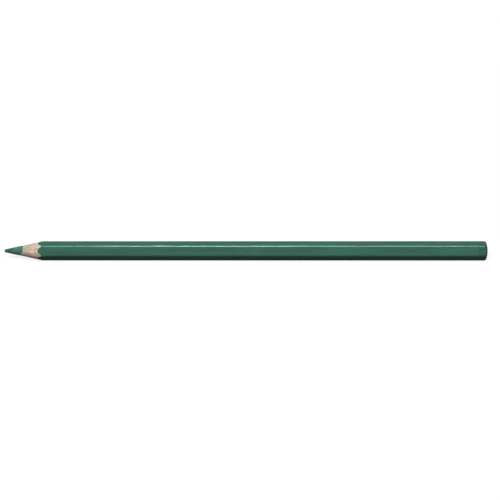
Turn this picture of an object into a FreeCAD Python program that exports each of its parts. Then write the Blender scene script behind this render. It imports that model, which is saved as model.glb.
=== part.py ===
import FreeCAD, Part
import math
import os

import Sketcher

# A wood-cased colouring pencil, hexagonal, sharpened at one end and dipped at the other.
#
# Every body is drawn in the pencil's own frame: the point is at the origin, the barrel runs
# along +X, and the barrel's axis is the X axis. Placements then lay the pencil on one of its
# flats, with the middle of its length over the origin and the point towards -X. The slats, the
# glue and the core are drawn with the joint between the slats level, in the XY plane, and
# their bodies are turned about the barrel's axis to where the joint really lies.

PARTS_FOLDER = "parts"

# Driving dimensions, in millimetres and degrees: alias, value, meaning.
DIMENSIONS = [
    ("overall_length", 175.0, "blunt point to top of the dipped end"),
    ("across_flats", 6.28, "finished barrel, flat to flat"),
    ("corner_radius", 0.85, "rounding of the finished barrel's six long edges"),
    ("lacquer_thickness", 0.06, "colour coats"),
    ("undercoat_thickness", 0.05, "filler coat between wood and colour"),
    ("core_diameter", 3.4, "pigment core"),
    ("core_shift", 0.28, "how far the grooves wandered sideways in the joint"),
    ("glue_thickness", 0.06, "adhesive between the slats and round the core"),
    ("joint_turn", 120.0, "turn of the joint about the barrel's axis"),
    ("cone_half_angle", 12.5, "sharpened cone"),
    ("nose_radius", 0.5, "worn round nose of the point"),
    ("dip_length", 3.4, "dipped end, measured along the barrel"),
    ("butt_radius", 3.55, "reach of the rounded butt, just past the barrel's corners"),
    ("shoulder_radius", 1.1, "rounding at the edge of the butt"),
    ("crown_radius", 9.0, "shallow crown over the butt"),
]

# Expressions that more than one piece uses.
LENGTH = "Dimensions.overall_length"
COATS = "(Dimensions.lacquer_thickness + Dimensions.undercoat_thickness)"
LACQUER_FLATS = "Dimensions.across_flats"
LACQUER_CORNER = "Dimensions.corner_radius"
PRIMED_FLATS = "Dimensions.across_flats - 2 * Dimensions.lacquer_thickness"
PRIMED_CORNER = "Dimensions.corner_radius - Dimensions.lacquer_thickness"
WOOD_FLATS = "Dimensions.across_flats - 2 * " + COATS
WOOD_CORNER = "Dimensions.corner_radius - " + COATS
CORE_RADIUS = "Dimensions.core_diameter / 2"
GROOVE_RADIUS = "Dimensions.core_diameter / 2 + Dimensions.glue_thickness"
NO_COVER = "0"
UPPER_GLUE_FACE = "Dimensions.glue_thickness / 2"
LOWER_GLUE_FACE = "-Dimensions.glue_thickness / 2"
COATED_LENGTH = "Dimensions.overall_length - Dimensions.dip_length"
CUTTER_REACH = "Dimensions.across_flats"

# Point numbers and fixed elements, as sketch constraints name them.
START, END, CENTRE = 1, 2, 3
ORIGIN_POINT = (-1, 1)
X_AXIS = -1
SIDES = 6
SIDE_ANGLE = math.radians(60)
AXIAL = FreeCAD.Vector(1, 0, 0)
NORMAL = FreeCAD.Vector(0, 0, 1)


def fill_sheet(doc):
    """The spreadsheet that drives every size."""
    sheet = doc.addObject("Spreadsheet::Sheet", "Dimensions")
    for row, (alias, value, meaning) in enumerate(DIMENSIONS, start=1):
        sheet.set("A%d" % row, alias)
        sheet.set("B%d" % row, str(value))
        sheet.set("C%d" % row, meaning)
        sheet.setAlias("B%d" % row, alias)
    doc.recompute()


def amount(owner, expression):
    """The present value of an expression, as a plain number."""
    result = owner.evalExpression(expression)
    return float(getattr(result, "Value", result))


def new_body(doc, name, turn="0"):
    """A body laid where the pencil lies, turned about the barrel's axis by a number of degrees."""
    body = doc.addObject("PartDesign::Body", name)
    body.Label = name
    body.Placement = FreeCAD.Placement(FreeCAD.Vector(), FreeCAD.Rotation(AXIAL, 1))
    body.setExpression("Placement.Rotation.Angle", turn + " * 1 deg")
    body.setExpression("Placement.Base.x", "-Dimensions.overall_length / 2")
    body.setExpression("Placement.Base.z", "Dimensions.across_flats / 2")
    return body


def new_sketch(body, name, role, offset=None):
    """A sketch on one of the body's origin planes, moved along its normal by offset."""
    planes = [item for item in body.Origin.OriginFeatures if item.Role == role]
    sketch = body.newObject("Sketcher::SketchObject", name)
    sketch.AttachmentSupport = (planes[0], [""])
    sketch.MapMode = "FlatFace"
    if offset is not None:
        sketch.setExpression("AttachmentOffset.Base.z", offset)
    return sketch


def bind(sketch, name, expression, *constraint):
    """Adds a dimension to the sketch and ties it to the sheet."""
    value = amount(sketch, expression)
    if constraint[0] == "Angle":
        value = math.radians(value)
    index = sketch.addConstraint(Sketcher.Constraint(*constraint, value))
    sketch.renameConstraint(index, name)
    sketch.setExpression("Constraints." + name, expression)


def hold(sketch, *constraint):
    """Adds a constraint that has no size."""
    sketch.addConstraint(Sketcher.Constraint(*constraint))


def polar(radius, angle):
    return FreeCAD.Vector(radius * math.cos(angle), radius * math.sin(angle), 0)


def add_outline(sketch, points):
    """Straight lines from point to point and back to the first, joined at their ends."""
    following = points[1:] + points[:1]
    lines = [sketch.addGeometry(Part.LineSegment(a, b), False) for a, b in zip(points, following)]
    for line, after in zip(lines, lines[1:] + lines[:1]):
        hold(sketch, "Coincident", line, END, after, START)
    return lines


def add_rounded_hexagon(sketch, name, flats, corner):
    """A hexagon round the origin with rounded corners, two of them on the sketch's X axis."""
    inradius = amount(sketch, flats) / 2
    rounding = amount(sketch, corner)
    corner_distance = (inradius - rounding) / math.cos(SIDE_ANGLE / 2)
    guide = sketch.addGeometry(Part.Circle(FreeCAD.Vector(), NORMAL, inradius), True)
    hold(sketch, "Coincident", guide, CENTRE, *ORIGIN_POINT)
    bind(sketch, name + "_flats", flats, "Diameter", guide)
    lines = []
    arcs = []
    for side in range(SIDES):
        facing = (side + 0.5) * SIDE_ANGLE
        near_corner = polar(corner_distance, side * SIDE_ANGLE)
        far_corner = polar(corner_distance, (side + 1) * SIDE_ANGLE)
        lift = polar(rounding, facing)
        circle = Part.Circle(far_corner, NORMAL, rounding)
        lines.append(sketch.addGeometry(Part.LineSegment(near_corner + lift, far_corner + lift), False))
        arcs.append(sketch.addGeometry(Part.ArcOfCircle(circle, facing, facing + SIDE_ANGLE), False))
    for side, (line, arc) in enumerate(zip(lines, arcs)):
        heading = math.remainder((side + 0.5) * SIDE_ANGLE + math.pi / 2, 2 * math.pi)
        hold(sketch, "Tangent", line, END, arc, START)
        hold(sketch, "Tangent", arc, END, lines[(side + 1) % SIDES], START)
        hold(sketch, "Tangent", line, guide)
        hold(sketch, "Angle", line, heading)
    for arc in arcs[1:]:
        hold(sketch, "Equal", arcs[0], arc)
    bind(sketch, name + "_corner", corner, "Radius", arcs[0])


def add_shifted_circle(sketch, radius):
    """A circle on the sketch's X axis, as far off the origin as the core is."""
    centre = FreeCAD.Vector(amount(sketch, "Dimensions.core_shift"), 0, 0)
    circle = sketch.addGeometry(Part.Circle(centre, NORMAL, amount(sketch, radius)), False)
    hold(sketch, "PointOnObject", circle, CENTRE, X_AXIS)
    bind(sketch, "shift", "Dimensions.core_shift", "DistanceX", *ORIGIN_POINT, circle, CENTRE)
    bind(sketch, "size", radius, "Radius", circle)


def pad(body, sketch, name, length=LENGTH):
    """Runs the sketch's outline along the barrel."""
    feature = body.newObject("PartDesign::Pad", name)
    feature.Profile = sketch
    feature.setExpression("Length", length)
    body.Document.recompute()


def check_cut(feature, before):
    """Recomputes, and makes sure that the feature has taken something off the piece."""
    feature.Document.recompute()
    after = feature.Shape.Volume
    if not 0 < after < before:
        raise RuntimeError("%s cut nothing: %g, then %g mm3" % (feature.Label, before, after))


def pocket_through(body, sketch, name, upward):
    """Cuts the sketch's outline right through the body, along its normal if upward."""
    before = body.Shape.Volume
    feature = body.newObject("PartDesign::Pocket", name)
    feature.Profile = sketch
    feature.Type = "ThroughAll"
    feature.Reversed = upward
    check_cut(feature, before)


def turn_away(body, sketch, name):
    """Cuts the sketch's outline away all round the barrel's axis."""
    before = body.Shape.Volume
    feature = body.newObject("PartDesign::Groove", name)
    feature.Profile = sketch
    feature.ReferenceAxis = (sketch, ["H_Axis"])
    feature.Angle = 360
    check_cut(feature, before)


def pad_hexagon(body, flats, corner):
    """A solid hexagonal rod, as long as the pencil."""
    sketch = new_sketch(body, "hexagon", "YZ_Plane")
    add_rounded_hexagon(sketch, "rod", flats, corner)
    pad(body, sketch, "rod")


def split_at_joint(body, name, offset, upward):
    """Takes off all that lies above a level near the joint, or all that lies below it."""
    sketch = new_sketch(body, name, "XY_Plane", offset)
    reach = amount(sketch, CUTTER_REACH)
    length = amount(sketch, LENGTH)
    corners = [(0, -reach), (length, -reach), (length, reach), (0, reach)]
    points = [FreeCAD.Vector(along, across, 0) for along, across in corners]
    near, far, other_far, end = add_outline(sketch, points)
    hold(sketch, "Horizontal", near)
    hold(sketch, "Horizontal", other_far)
    hold(sketch, "Vertical", far)
    hold(sketch, "Symmetric", end, START, end, END, *ORIGIN_POINT)
    bind(sketch, "run", LENGTH, "DistanceX", near, START, near, END)
    bind(sketch, "sweep", "2 * " + CUTTER_REACH, "DistanceY", far, START, far, END)
    pocket_through(body, sketch, name + "_cut", upward)


def bore(body, name, radius):
    """Cuts the core's round channel along the whole piece."""
    sketch = new_sketch(body, name, "YZ_Plane")
    add_shifted_circle(sketch, radius)
    pocket_through(body, sketch, name + "_cut", True)


def sharpen(body):
    """Cuts the sharpener's cone, which ends in the small round nose of a used point."""
    sketch = new_sketch(body, "sharpener", "XY_Plane")
    nose = amount(sketch, "Dimensions.nose_radius")
    slope = math.radians(amount(sketch, "Dimensions.cone_half_angle"))
    reach = amount(sketch, CUTTER_REACH)
    centre = FreeCAD.Vector(nose, 0, 0)
    tangent_angle = math.pi / 2 + slope
    touch = centre + polar(nose, tangent_angle)
    cone_top = FreeCAD.Vector(touch.x + (reach - touch.y) / math.tan(slope), reach, 0)
    back_top = FreeCAD.Vector(-reach, reach, 0)
    back = FreeCAD.Vector(-reach, 0, 0)
    arc = Part.ArcOfCircle(Part.Circle(centre, NORMAL, nose), tangent_angle, math.pi)
    nose_arc = sketch.addGeometry(arc, False)
    axis_line = sketch.addGeometry(Part.LineSegment(FreeCAD.Vector(), back), False)
    back_line = sketch.addGeometry(Part.LineSegment(back, back_top), False)
    top_line = sketch.addGeometry(Part.LineSegment(back_top, cone_top), False)
    cone_line = sketch.addGeometry(Part.LineSegment(cone_top, touch), False)
    hold(sketch, "Coincident", nose_arc, END, *ORIGIN_POINT)
    hold(sketch, "PointOnObject", nose_arc, CENTRE, X_AXIS)
    hold(sketch, "Coincident", axis_line, START, nose_arc, END)
    hold(sketch, "Coincident", axis_line, END, back_line, START)
    hold(sketch, "Coincident", back_line, END, top_line, START)
    hold(sketch, "Coincident", top_line, END, cone_line, START)
    hold(sketch, "Tangent", cone_line, END, nose_arc, START)
    hold(sketch, "Horizontal", axis_line)
    hold(sketch, "Horizontal", top_line)
    hold(sketch, "Vertical", back_line)
    bind(sketch, "nose", "Dimensions.nose_radius", "Radius", nose_arc)
    bind(sketch, "reach", CUTTER_REACH, "DistanceY", back_line, START, back_line, END)
    bind(sketch, "depth", CUTTER_REACH, "DistanceX", axis_line, END, axis_line, START)
    bind(sketch, "slope", "Dimensions.cone_half_angle * 1 deg", "Angle", X_AXIS, START, cone_line, END)
    turn_away(body, sketch, "sharpened_cone")


def round_butt(body, cover):
    """Cuts the far end to a shallow crown with a round shoulder, as deep as the cover on it."""
    sketch = new_sketch(body, "butt", "XY_Plane")
    end = amount(sketch, LENGTH)
    cover_size = amount(sketch, cover)
    crown = amount(sketch, "Dimensions.crown_radius")
    shoulder = amount(sketch, "Dimensions.shoulder_radius")
    lift = amount(sketch, "Dimensions.butt_radius") - shoulder
    reach = amount(sketch, CUTTER_REACH)
    crown_centre = FreeCAD.Vector(end - crown, 0, 0)
    lean = math.asin(lift / (crown - shoulder))
    shoulder_centre = crown_centre + polar(crown - shoulder, lean)
    crown_arc = Part.ArcOfCircle(Part.Circle(crown_centre, NORMAL, crown - cover_size), 0, lean)
    shoulder_circle = Part.Circle(shoulder_centre, NORMAL, shoulder - cover_size)
    shoulder_arc = Part.ArcOfCircle(shoulder_circle, lean, math.pi / 2)
    apex = crown_arc.StartPoint
    edge = shoulder_arc.EndPoint
    edge_top = FreeCAD.Vector(edge.x, reach, 0)
    far_top = FreeCAD.Vector(end + reach, reach, 0)
    far = FreeCAD.Vector(end + reach, 0, 0)
    crown_curve = sketch.addGeometry(crown_arc, False)
    shoulder_curve = sketch.addGeometry(shoulder_arc, False)
    rise = sketch.addGeometry(Part.LineSegment(edge, edge_top), False)
    top_line = sketch.addGeometry(Part.LineSegment(edge_top, far_top), False)
    far_line = sketch.addGeometry(Part.LineSegment(far_top, far), False)
    axis_line = sketch.addGeometry(Part.LineSegment(far, apex), False)
    hold(sketch, "PointOnObject", crown_curve, CENTRE, X_AXIS)
    hold(sketch, "PointOnObject", crown_curve, START, X_AXIS)
    hold(sketch, "Tangent", crown_curve, END, shoulder_curve, START)
    hold(sketch, "Coincident", shoulder_curve, END, rise, START)
    hold(sketch, "Coincident", rise, END, top_line, START)
    hold(sketch, "Coincident", top_line, END, far_line, START)
    hold(sketch, "Coincident", far_line, END, axis_line, START)
    hold(sketch, "Coincident", axis_line, END, crown_curve, START)
    hold(sketch, "Vertical", shoulder_curve, CENTRE, shoulder_curve, END)
    hold(sketch, "Vertical", rise)
    hold(sketch, "Horizontal", top_line)
    hold(sketch, "Vertical", far_line)
    hold(sketch, "Horizontal", axis_line)
    crown_place = LENGTH + " - Dimensions.crown_radius"
    lift_size = "Dimensions.butt_radius - Dimensions.shoulder_radius"
    bind(sketch, "crown_place", crown_place, "DistanceX", *ORIGIN_POINT, crown_curve, CENTRE)
    bind(sketch, "crown", "Dimensions.crown_radius - " + cover, "Radius", crown_curve)
    bind(sketch, "shoulder", "Dimensions.shoulder_radius - " + cover, "Radius", shoulder_curve)
    bind(sketch, "lift", lift_size, "DistanceY", *ORIGIN_POINT, shoulder_curve, CENTRE)
    bind(sketch, "reach", CUTTER_REACH, "DistanceY", far_line, END, far_line, START)
    bind(sketch, "depth", LENGTH + " + " + CUTTER_REACH, "DistanceX", *ORIGIN_POINT, far_line, END)
    turn_away(body, sketch, "rounded_butt")


def make_core(doc):
    """The pigment core: a round stick whose end shares the sharpened cone."""
    body = new_body(doc, "colour_core", "Dimensions.joint_turn")
    sketch = new_sketch(body, "stick", "YZ_Plane")
    add_shifted_circle(sketch, CORE_RADIUS)
    pad(body, sketch, "core_stick")
    sharpen(body)
    round_butt(body, COATS)
    return body


def make_slat(doc, name, glued_face, cut_upward):
    """One wood half of the barrel, with its half-round groove for the core."""
    body = new_body(doc, name, "Dimensions.joint_turn")
    pad_hexagon(body, WOOD_FLATS, WOOD_CORNER)
    split_at_joint(body, "glued_face", glued_face, cut_upward)
    bore(body, "core_groove", GROOVE_RADIUS)
    sharpen(body)
    round_butt(body, COATS)
    return body


def make_glue(doc):
    """The adhesive: a thin sheet in the joint on both sides, and a sleeve round the core."""
    body = new_body(doc, "glue_film", "Dimensions.joint_turn")
    pad_hexagon(body, WOOD_FLATS, WOOD_CORNER)
    split_at_joint(body, "upper_face", UPPER_GLUE_FACE, True)
    split_at_joint(body, "lower_face", LOWER_GLUE_FACE, False)
    sketch = new_sketch(body, "sleeve", "YZ_Plane")
    add_shifted_circle(sketch, GROOVE_RADIUS)
    pad(body, sketch, "core_sleeve")
    bore(body, "core_bore", CORE_RADIUS)
    sharpen(body)
    round_butt(body, COATS)
    return body


def make_coat(doc, name, outer, inner):
    """A coat round the barrel, from the dipped end to the scalloped edge that sharpening leaves."""
    body = new_body(doc, name)
    sketch = new_sketch(body, "section", "YZ_Plane")
    add_rounded_hexagon(sketch, "outside", *outer)
    add_rounded_hexagon(sketch, "inside", *inner)
    pad(body, sketch, "coat", COATED_LENGTH)
    sharpen(body)
    return body


def make_dip(doc):
    """The dipped end: a crowned cap of lacquer that closes the butt over wood and core."""
    blank = new_body(doc, "dip_blank")
    sketch = new_sketch(blank, "section", "YZ_Plane", COATED_LENGTH)
    add_rounded_hexagon(sketch, "outside", LACQUER_FLATS, LACQUER_CORNER)
    pad(blank, sketch, "cap", "Dimensions.dip_length")
    round_butt(blank, NO_COVER)
    wood = new_body(doc, "wood_blank")
    pad_hexagon(wood, WOOD_FLATS, WOOD_CORNER)
    round_butt(wood, COATS)
    dip = doc.addObject("Part::Cut", "end_dip")
    dip.Label = "end_dip"
    dip.Base = blank
    dip.Tool = wood
    return dip


def check_document(doc, pieces):
    """Stops on any object that failed to build and on any piece without a sound solid."""
    for item in doc.Objects:
        if "Invalid" in item.State or "Error" in item.State:
            raise RuntimeError("%s failed to build: %s" % (item.Label, item.State))
    for piece in pieces:
        if piece.Shape.isNull() or not piece.Shape.isValid() or len(piece.Shape.Solids) != 1:
            raise RuntimeError(piece.Label + " is not one sound solid")


def main():
    doc = FreeCAD.newDocument("colouring_pencil")
    fill_sheet(doc)
    wood = (WOOD_FLATS, WOOD_CORNER)
    primed = (PRIMED_FLATS, PRIMED_CORNER)
    lacquered = (LACQUER_FLATS, LACQUER_CORNER)
    pieces = [
        make_core(doc),
        make_slat(doc, "front_slat", UPPER_GLUE_FACE, False),
        make_slat(doc, "rear_slat", LOWER_GLUE_FACE, True),
        make_glue(doc),
        make_coat(doc, "undercoat", primed, wood),
        make_coat(doc, "colour_lacquer", lacquered, primed),
        make_dip(doc),
    ]
    doc.recompute()
    check_document(doc, pieces)
    os.makedirs(PARTS_FOLDER, exist_ok=True)
    for piece in pieces:
        piece.Shape.exportStep(os.path.join(PARTS_FOLDER, piece.Label + ".step"))
        box = piece.Shape.optimalBoundingBox()
        size = (box.XLength, box.YLength, box.ZLength)
        print("%-15s %9.3f mm3, %.3f x %.3f x %.3f mm" % (piece.Label, piece.Shape.Volume, *size))


main()
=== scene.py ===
import math

import bmesh
import bpy
import numpy as np
from mathutils import Matrix, Vector, noise


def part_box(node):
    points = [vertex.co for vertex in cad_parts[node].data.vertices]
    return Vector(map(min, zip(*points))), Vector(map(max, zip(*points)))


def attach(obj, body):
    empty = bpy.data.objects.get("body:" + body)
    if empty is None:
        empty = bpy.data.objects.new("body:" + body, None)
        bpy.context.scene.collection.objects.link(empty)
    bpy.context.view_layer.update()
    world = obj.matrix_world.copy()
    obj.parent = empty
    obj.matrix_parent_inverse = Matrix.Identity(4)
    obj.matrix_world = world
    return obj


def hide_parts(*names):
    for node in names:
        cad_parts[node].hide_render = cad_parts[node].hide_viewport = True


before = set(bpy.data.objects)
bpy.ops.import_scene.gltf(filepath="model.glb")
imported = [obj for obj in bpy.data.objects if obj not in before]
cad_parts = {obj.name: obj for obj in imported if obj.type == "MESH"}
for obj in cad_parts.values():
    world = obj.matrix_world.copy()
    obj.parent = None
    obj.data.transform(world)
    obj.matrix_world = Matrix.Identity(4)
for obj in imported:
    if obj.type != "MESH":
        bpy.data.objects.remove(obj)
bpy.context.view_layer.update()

bl_info = {
    "name": "Hexagonal Colouring Pencil",
    "version": (1, 0, 0),
    "blender": (4, 5, 0),
    "location": "View3D > Sidebar > Pencil",
    "description": "Builds a sharpened, lacquered hexagonal colouring pencil round its design frame",
    "category": "Add Mesh",
}

# ---- Sizes read from the frame ----

# The barrel runs along X, its point towards -X, and lies on a flat.

MM = 0.001
CORE_LOW, CORE_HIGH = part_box("colour_core")
COAT_LOW, COAT_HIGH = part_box("colour_lacquer")
FILLER_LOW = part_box("undercoat")[0]
GLUE_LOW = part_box("glue_film")[0]
WOOD_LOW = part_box("front_slat")[0]

TIP_X = CORE_LOW.x
BUTT_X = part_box("end_dip")[1].x
COAT_END_X = COAT_HIGH.x
AXIS_Z = (COAT_LOW.z + COAT_HIGH.z) / 2
HALF_FLATS = (COAT_HIGH.z - COAT_LOW.z) / 2
CORNER_REACH = (COAT_HIGH.y - COAT_LOW.y) / 2

# How deep each layer lies under the finished surface.
COAT_THICKNESS = FILLER_LOW.z - COAT_LOW.z
FILLER_THICKNESS = WOOD_LOW.z - FILLER_LOW.z
WOOD_COVER = COAT_THICKNESS + FILLER_THICKNESS
BUTT_COVER = BUTT_X - CORE_HIGH.x
WOOD_END_X = BUTT_X - BUTT_COVER

# The hexagon. Its corner rounding follows from how far the corners reach past the flats.
SIDES = 6
WHOLE_TURN = 2 * math.pi
SIDE_ANGLE = WHOLE_TURN / SIDES
HALF_SIDE_ANGLE = SIDE_ANGLE / 2
CORNER_STRETCH = 1 / math.cos(HALF_SIDE_ANGLE)
CORNER_RADIUS = (HALF_FLATS * CORNER_STRETCH - CORNER_REACH) / (CORNER_STRETCH - 1)

# The core lies a little off the barrel's axis, along the joint between the slats.
CORE_RADIUS = (CORE_HIGH.z - CORE_LOW.z) / 2
CORE_Y = (CORE_LOW.y + CORE_HIGH.y) / 2
CORE_RISE = (CORE_LOW.z + CORE_HIGH.z) / 2 - AXIS_Z
CORE_SHIFT = math.hypot(CORE_Y, CORE_RISE)
JOINT_ANGLE = math.atan2(CORE_RISE, CORE_Y)
GROOVE_RADIUS = CORE_Y - GLUE_LOW.y
GLUE_THICKNESS = GROOVE_RADIUS - CORE_RADIUS

# How finely the pieces are divided. The barrel's columns crowd towards its corners.
COLUMNS = 168
CORE_COLUMNS = 240
SLAT_COLUMNS = 190
CORNER_CROWDING = 0.7

# Points nearer than this become one.
WELD_DISTANCE = 1e-8
SEAM_DISTANCE = 1e-7

# Edges that turn by more degrees than this are drawn sharp.
CUT_SHARP = 11
COAT_SHARP = 8
DIP_SHARP = 40

# The sharpener's blade.
CONE_HALF_DEGREES = 12.5


# ---- What a user would change ----

def length(name, description, millimetres):
    """A length that a user can change."""
    return bpy.props.FloatProperty(
        name=name, description=description, default=millimetres * MM, subtype="DISTANCE", unit="LENGTH"
    )


def angle(name, description, degrees):
    """An angle that a user can change."""
    return bpy.props.FloatProperty(
        name=name, description=description, default=math.radians(degrees), subtype="ANGLE", unit="ROTATION"
    )


def colour(name, description, *values):
    """A colour that a user can change."""
    return bpy.props.FloatVectorProperty(
        name=name, description=description, default=values, size=3, min=0, max=1, subtype="COLOR"
    )


class PencilShape(bpy.types.PropertyGroup):
    """How the pencil is sharpened and how its butt is rounded."""

    cone_half_angle: angle("Cone Half Angle", "Half the angle of the sharpened cone", CONE_HALF_DEGREES)
    nose_radius: length("Nose Radius", "Round of the worn tip of the core", 0.5)
    butt_reach: length("Butt Reach", "Radius at which the rounded butt begins", 3.55)
    shoulder_radius: length("Shoulder Radius", "Round at the edge of the butt", 1.1)
    crown_radius: length("Crown Radius", "Shallow crown over the butt", 9.0)
    film_ripple: length("Film Ripple", "How far the lacquer's surface sinks and swells", 0.012)
    edge_chip: length("Edge Chip", "How far lacquer has flaked back from the sharpened edge", 0.5)
    pore_depth: length("Pore Depth", "How deep the sharpener tore the wood's fibres", 0.035)
    score_depth: length("Score Depth", "How deep the sharpener scored the core", 0.02)
    core_swell: length("Core Swell", "How far the sharpened core stands proud of the wood round it", 0.09)


class PencilFinish(bpy.types.PropertyGroup):
    """The colours of the pencil's materials."""

    lacquer: colour("Lacquer", "Colour of the barrel and the dipped end", 0.039, 0.126, 0.088)
    core: colour("Core", "Colour of the pigment core", 0.05, 0.125, 0.092)
    wood: colour("Wood", "Colour of the light wood between the fibres", 0.735, 0.61, 0.485)
    blush: colour("Blush", "Colour of the pinker patches of wood", 0.68, 0.47, 0.40)
    fibre: colour("Fibre", "Colour of the dark fibres and pores", 0.27, 0.17, 0.09)
    filler: colour("Filler", "Colour of the filler coat", 0.66, 0.60, 0.52)
    glue: colour("Glue", "Colour of the dried adhesive", 0.66, 0.60, 0.46)


class PencilStage(bpy.types.PropertyGroup):
    """The view and the floor."""

    view_elevation: angle("View Elevation", "How far above the floor the camera stands", 31.6)
    view_turn: angle("View Turn", "How far the camera stands towards the butt", 3.9)
    view_distance: length("View Distance", "Camera to pencil", 1000)
    view_width: length("View Width", "Width of what the camera takes in at the pencil", 180.8)
    aim_along: length("Aim Along", "How far past the middle of the pencil the camera aims", 1.86)
    aim_above: length("Aim Above", "How far above the pencil's axis the camera aims", 0.3)
    floor_size: length("Floor Size", "Radius of the floor", 30000)


# ---- The rules of the pencil's shape: arrays in, arrays out, in metres and radians ----

def cone_apex(shape):
    """Where along the barrel the cone would end if its tip weren't worn."""
    return TIP_X + shape.nose_radius * (1 - 1 / math.sin(shape.cone_half_angle))


def point_x(radius, shape):
    """Where along the barrel the sharpened point has this radius."""
    touch = shape.nose_radius * math.cos(shape.cone_half_angle)
    fall = np.sqrt(np.maximum(shape.nose_radius ** 2 - radius ** 2, 0))
    nose = TIP_X + shape.nose_radius - fall
    return np.where(radius < touch, nose, cone_apex(shape) + radius / math.tan(shape.cone_half_angle))


def butt_x(radius, cover, shape):
    """Where along the barrel the rounded butt has this radius, under so much cover."""
    crown_centre = BUTT_X - shape.crown_radius
    lift = shape.butt_reach - shape.shoulder_radius
    spread = shape.crown_radius - shape.shoulder_radius
    shoulder_centre = crown_centre + math.sqrt(spread ** 2 - lift ** 2)
    crown = shape.crown_radius - cover
    shoulder = shape.shoulder_radius - cover
    on_crown = crown_centre + np.sqrt(np.maximum(crown ** 2 - radius ** 2, 0))
    on_shoulder = shoulder_centre + np.sqrt(np.maximum(shoulder ** 2 - (radius - lift) ** 2, 0))
    return np.where(radius < lift * crown / spread, on_crown, on_shoulder)


def barrel_radius(turn, cover):
    """Distance from the axis to the rounded hexagon under so much cover, a corner being at turn 0."""
    half_flats = HALF_FLATS - cover
    corner = CORNER_RADIUS - cover
    from_flat = np.abs(np.mod(turn, SIDE_ANGLE) - HALF_SIDE_ANGLE)
    from_corner = HALF_SIDE_ANGLE - from_flat
    flat = half_flats / np.cos(from_flat)
    centre = (half_flats - corner) * CORNER_STRETCH
    fall = np.sqrt(np.maximum(corner ** 2 - (centre * np.sin(from_corner)) ** 2, 0))
    rounding = centre * np.cos(from_corner) + fall
    half_side = (half_flats - corner) * math.tan(HALF_SIDE_ANGLE)
    return np.where(half_flats * np.tan(from_flat) > half_side, rounding, flat)


def channel(turn, radius):
    """Distance from the barrel's axis to a circle round the core's own axis."""
    from_joint = turn - JOINT_ANGLE
    across = CORE_SHIFT * np.sin(from_joint)
    return CORE_SHIFT * np.cos(from_joint) + np.sqrt(radius ** 2 - across ** 2)


def crowded_turns():
    """Angles once round the barrel, closer together at its corners."""
    even = np.arange(COLUMNS) * WHOLE_TURN / COLUMNS
    return (even - CORNER_CROWDING / SIDES * np.sin(SIDES * even))[None, :]


def place(along, radius, turn):
    """Points from the place along the barrel, the distance from its axis and the angle."""
    along, radius, turn = np.broadcast_arrays(along, radius, turn)
    return np.stack([along, radius * np.cos(turn), AXIS_Z + radius * np.sin(turn)], axis=-1)


def fade(distance, width):
    """0 where the distance is 0 or less, rising evenly to 1 over the width."""
    return np.clip(distance / width, 0, 1)


def smooth_noise(points, stretch, seed):
    """Noise between -1 and 1 at each point. Stretch is how many ripples a millimetre holds each way."""
    scaled = points.reshape(-1, 3) / MM * np.array(stretch) + seed
    values = [noise.noise(Vector(spot)) for spot in scaled.tolist()]
    return np.array(values).reshape(points.shape[:-1])


# ---- From points to pieces ----

def grid_faces(rows, columns, close_rows, close_columns):
    """Quads over a grid of points numbered row by row."""
    row_pairs = [(row, (row + 1) % rows) for row in range(rows if close_rows else rows - 1)]
    column_pairs = [(c, (c + 1) % columns) for c in range(columns if close_columns else columns - 1)]
    return [
        (low * columns + near, low * columns + far, high * columns + far, high * columns + near)
        for low, high in row_pairs
        for near, far in column_pairs
    ]


def mesh_from(name, points, faces):
    """A mesh of these points and faces."""
    mesh = bpy.data.meshes.new(name)
    mesh.from_pydata(points, [], faces)
    mesh.update()
    return mesh


def turned_stick(name, grid, start_x, end_x):
    """A closed mesh of rings, with a point on the axis at each end."""
    rows, columns = grid.shape[:2]
    points = grid.reshape(-1, 3).tolist() + [[start_x, 0, AXIS_Z], [end_x, 0, AXIS_Z]]
    faces = grid_faces(rows, columns, False, True)
    start, end = rows * columns, rows * columns + 1
    final_row = (rows - 1) * columns
    for column in range(columns):
        following = (column + 1) % columns
        faces.append((start, following, column))
        faces.append((end, final_row + column, final_row + following))
    return mesh_from(name, points, faces)


def sector(name, grid):
    """A closed mesh of a grid whose rows come full circle, with a flat face at each side."""
    rows, columns = grid.shape[:2]
    faces = grid_faces(rows, columns, True, False)
    faces.append(tuple(row * columns for row in range(rows)))
    faces.append(tuple(row * columns + columns - 1 for row in reversed(range(rows))))
    return mesh_from(name, grid.reshape(-1, 3).tolist(), faces)


def put_in_scene(name, data):
    """An object of this mesh, lamp or camera, linked to the scene."""
    thing = bpy.data.objects.new(name, data)
    bpy.context.scene.collection.objects.link(thing)
    return thing


def finish_piece(name, mesh, material, node, sharp_degrees):
    """Makes a piece of the mesh: closed, facing outwards, shaded, riding on the pencil."""
    work = bmesh.new()
    work.from_mesh(mesh)
    bmesh.ops.remove_doubles(work, verts=work.verts, dist=WELD_DISTANCE)
    bmesh.ops.recalc_face_normals(work, faces=work.faces)
    work.to_mesh(mesh)
    work.free()
    mesh.polygons.foreach_set("use_smooth", [True] * len(mesh.polygons))
    mesh.set_sharp_from_angle(angle=math.radians(sharp_degrees))
    if not mesh.materials:
        mesh.materials.append(material)
    piece = put_in_scene(name, mesh)
    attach(piece, "root")
    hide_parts(node)


# ---- Core, slats and glue ----

# The glue's clearance depends on the radius, and the radius on the angle, so they settle in rounds.
SETTLING_ROUNDS = 3


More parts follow.
